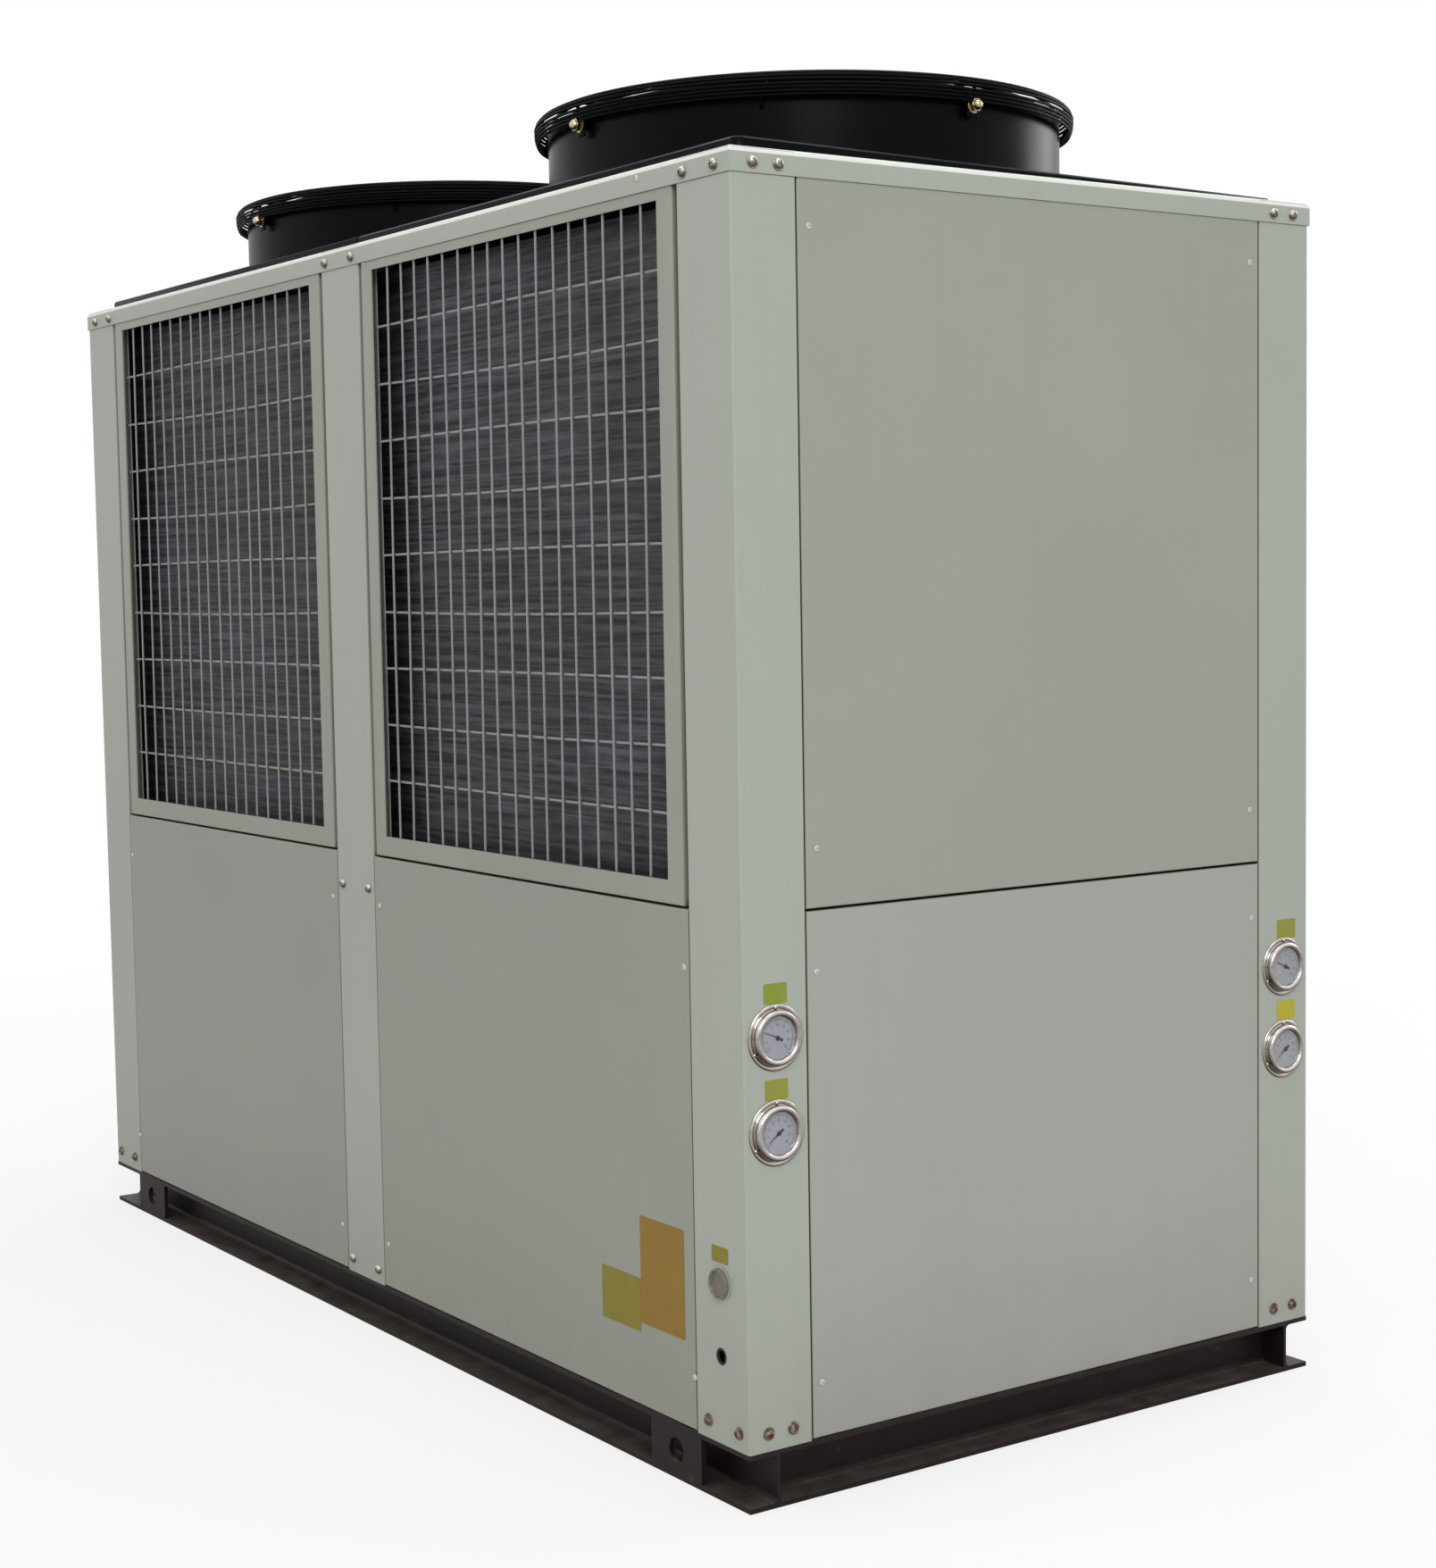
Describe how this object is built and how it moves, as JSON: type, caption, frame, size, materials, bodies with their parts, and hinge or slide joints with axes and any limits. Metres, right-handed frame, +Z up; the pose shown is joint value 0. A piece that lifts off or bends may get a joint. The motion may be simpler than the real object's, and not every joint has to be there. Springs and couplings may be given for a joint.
{
  "type": "air-cooled packaged chiller",
  "caption": "Free-standing sheet metal cabinet on a channel base, with wire grilles over finned coils on its long sides, ducted axial fans under ring guards on top, and dial gauges at one end.",
  "frame": {"origin": "bottom centre of the base frame, on the floor plane", "axes": "+X along the cabinet towards the end with the gauges, -Y out of the front long side, +Z up"},
  "size_m": [2.253, 1.079, 1.962],
  "materials": {
    "cabinet_paint": "grey-green polyester powder coat on folded sheet steel, semi-gloss with a fine orange peel",
    "base_paint": "dark maroon-brown anti-rust paint on rolled steel channel, satin",
    "black_paint": "gloss black stove enamel on pressed sheet and welded wire",
    "motor_paint": "satin black paint on a cast housing",
    "blade_paint": "satin black paint on pressed steel blades and hub",
    "coil_fins": "closely pitched fins over rows of copper tube, seen dark from outside",
    "galvanised_sheet": "galvanised sheet, dull spangle",
    "stainless_steel": "polished stainless gauge case",
    "pointer_paint": "black pointer",
    "plug_plastic": "pale moulded plastic plug"
  },
  "bodies": {
    "cabinet": {"base_rail_back": "base_paint", "base_rail_front": "base_paint", "base_rail_left": "base_paint", "base_rail_right": "base_paint", "blanking_plug": "plug_plastic", "condenser_coil_back_left": "coil_fins", "condenser_coil_back_right": "coil_fins", "condenser_coil_front_left": "coil_fins", "condenser_coil_front_right": "coil_fins", "corner_post_back_left": "cabinet_paint", "corner_post_back_right": "cabinet_paint", "corner_post_front_left": "cabinet_paint", "corner_post_front_right": "cabinet_paint", "cross_member_left": "base_paint", "cross_member_right": "base_paint", "end_panel_lower_left": "cabinet_paint", "end_panel_lower_right": "cabinet_paint", "end_panel_upper_left": "cabinet_paint", "end_panel_upper_right": "cabinet_paint", "fan_deck_left": "black_paint", "fan_deck_right": "black_paint", "fan_duct_left": "black_paint", "fan_duct_right": "black_paint", "fan_guard_left": "black_paint", "fan_guard_right": "black_paint", "fan_motors": "motor_paint", "fan_partition": "galvanised_sheet", "floor_pan": "galvanised_sheet", "gauge_pointers": "pointer_paint", "gauges": "stainless_steel", "grille_back_left": "cabinet_paint", "grille_back_right": "cabinet_paint", "grille_front_left": "cabinet_paint", "grille_front_right": "cabinet_paint", "lifting_plates": "base_paint", "mullion_back": "cabinet_paint", "mullion_front": "cabinet_paint", "plenum_floor": "galvanised_sheet", "roof_beam": "galvanised_sheet", "roof_trim_back": "cabinet_paint", "roof_trim_front": "cabinet_paint", "roof_trim_left": "cabinet_paint", "roof_trim_right": "cabinet_paint", "side_panel_back_left": "cabinet_paint", "side_panel_back_right": "cabinet_paint", "side_panel_front_left": "cabinet_paint", "side_panel_front_right": "cabinet_paint"},
    "rotor_right": {"fan_rotor_right": "blade_paint"},
    "rotor_left": {"fan_rotor_left": "blade_paint"}
  },
  "joints": [
    {"name": "rotor_right_spin", "type": "hinge", "parent": "cabinet", "child": "rotor_right", "pos_m": [0.56, 0, 1.882], "axis": [0, 0, 1], "continuous": true},
    {"name": "rotor_left_spin", "type": "hinge", "parent": "cabinet", "child": "rotor_left", "pos_m": [-0.56, 0, 1.882], "axis": [0, 0, 1], "continuous": true}
  ]
}
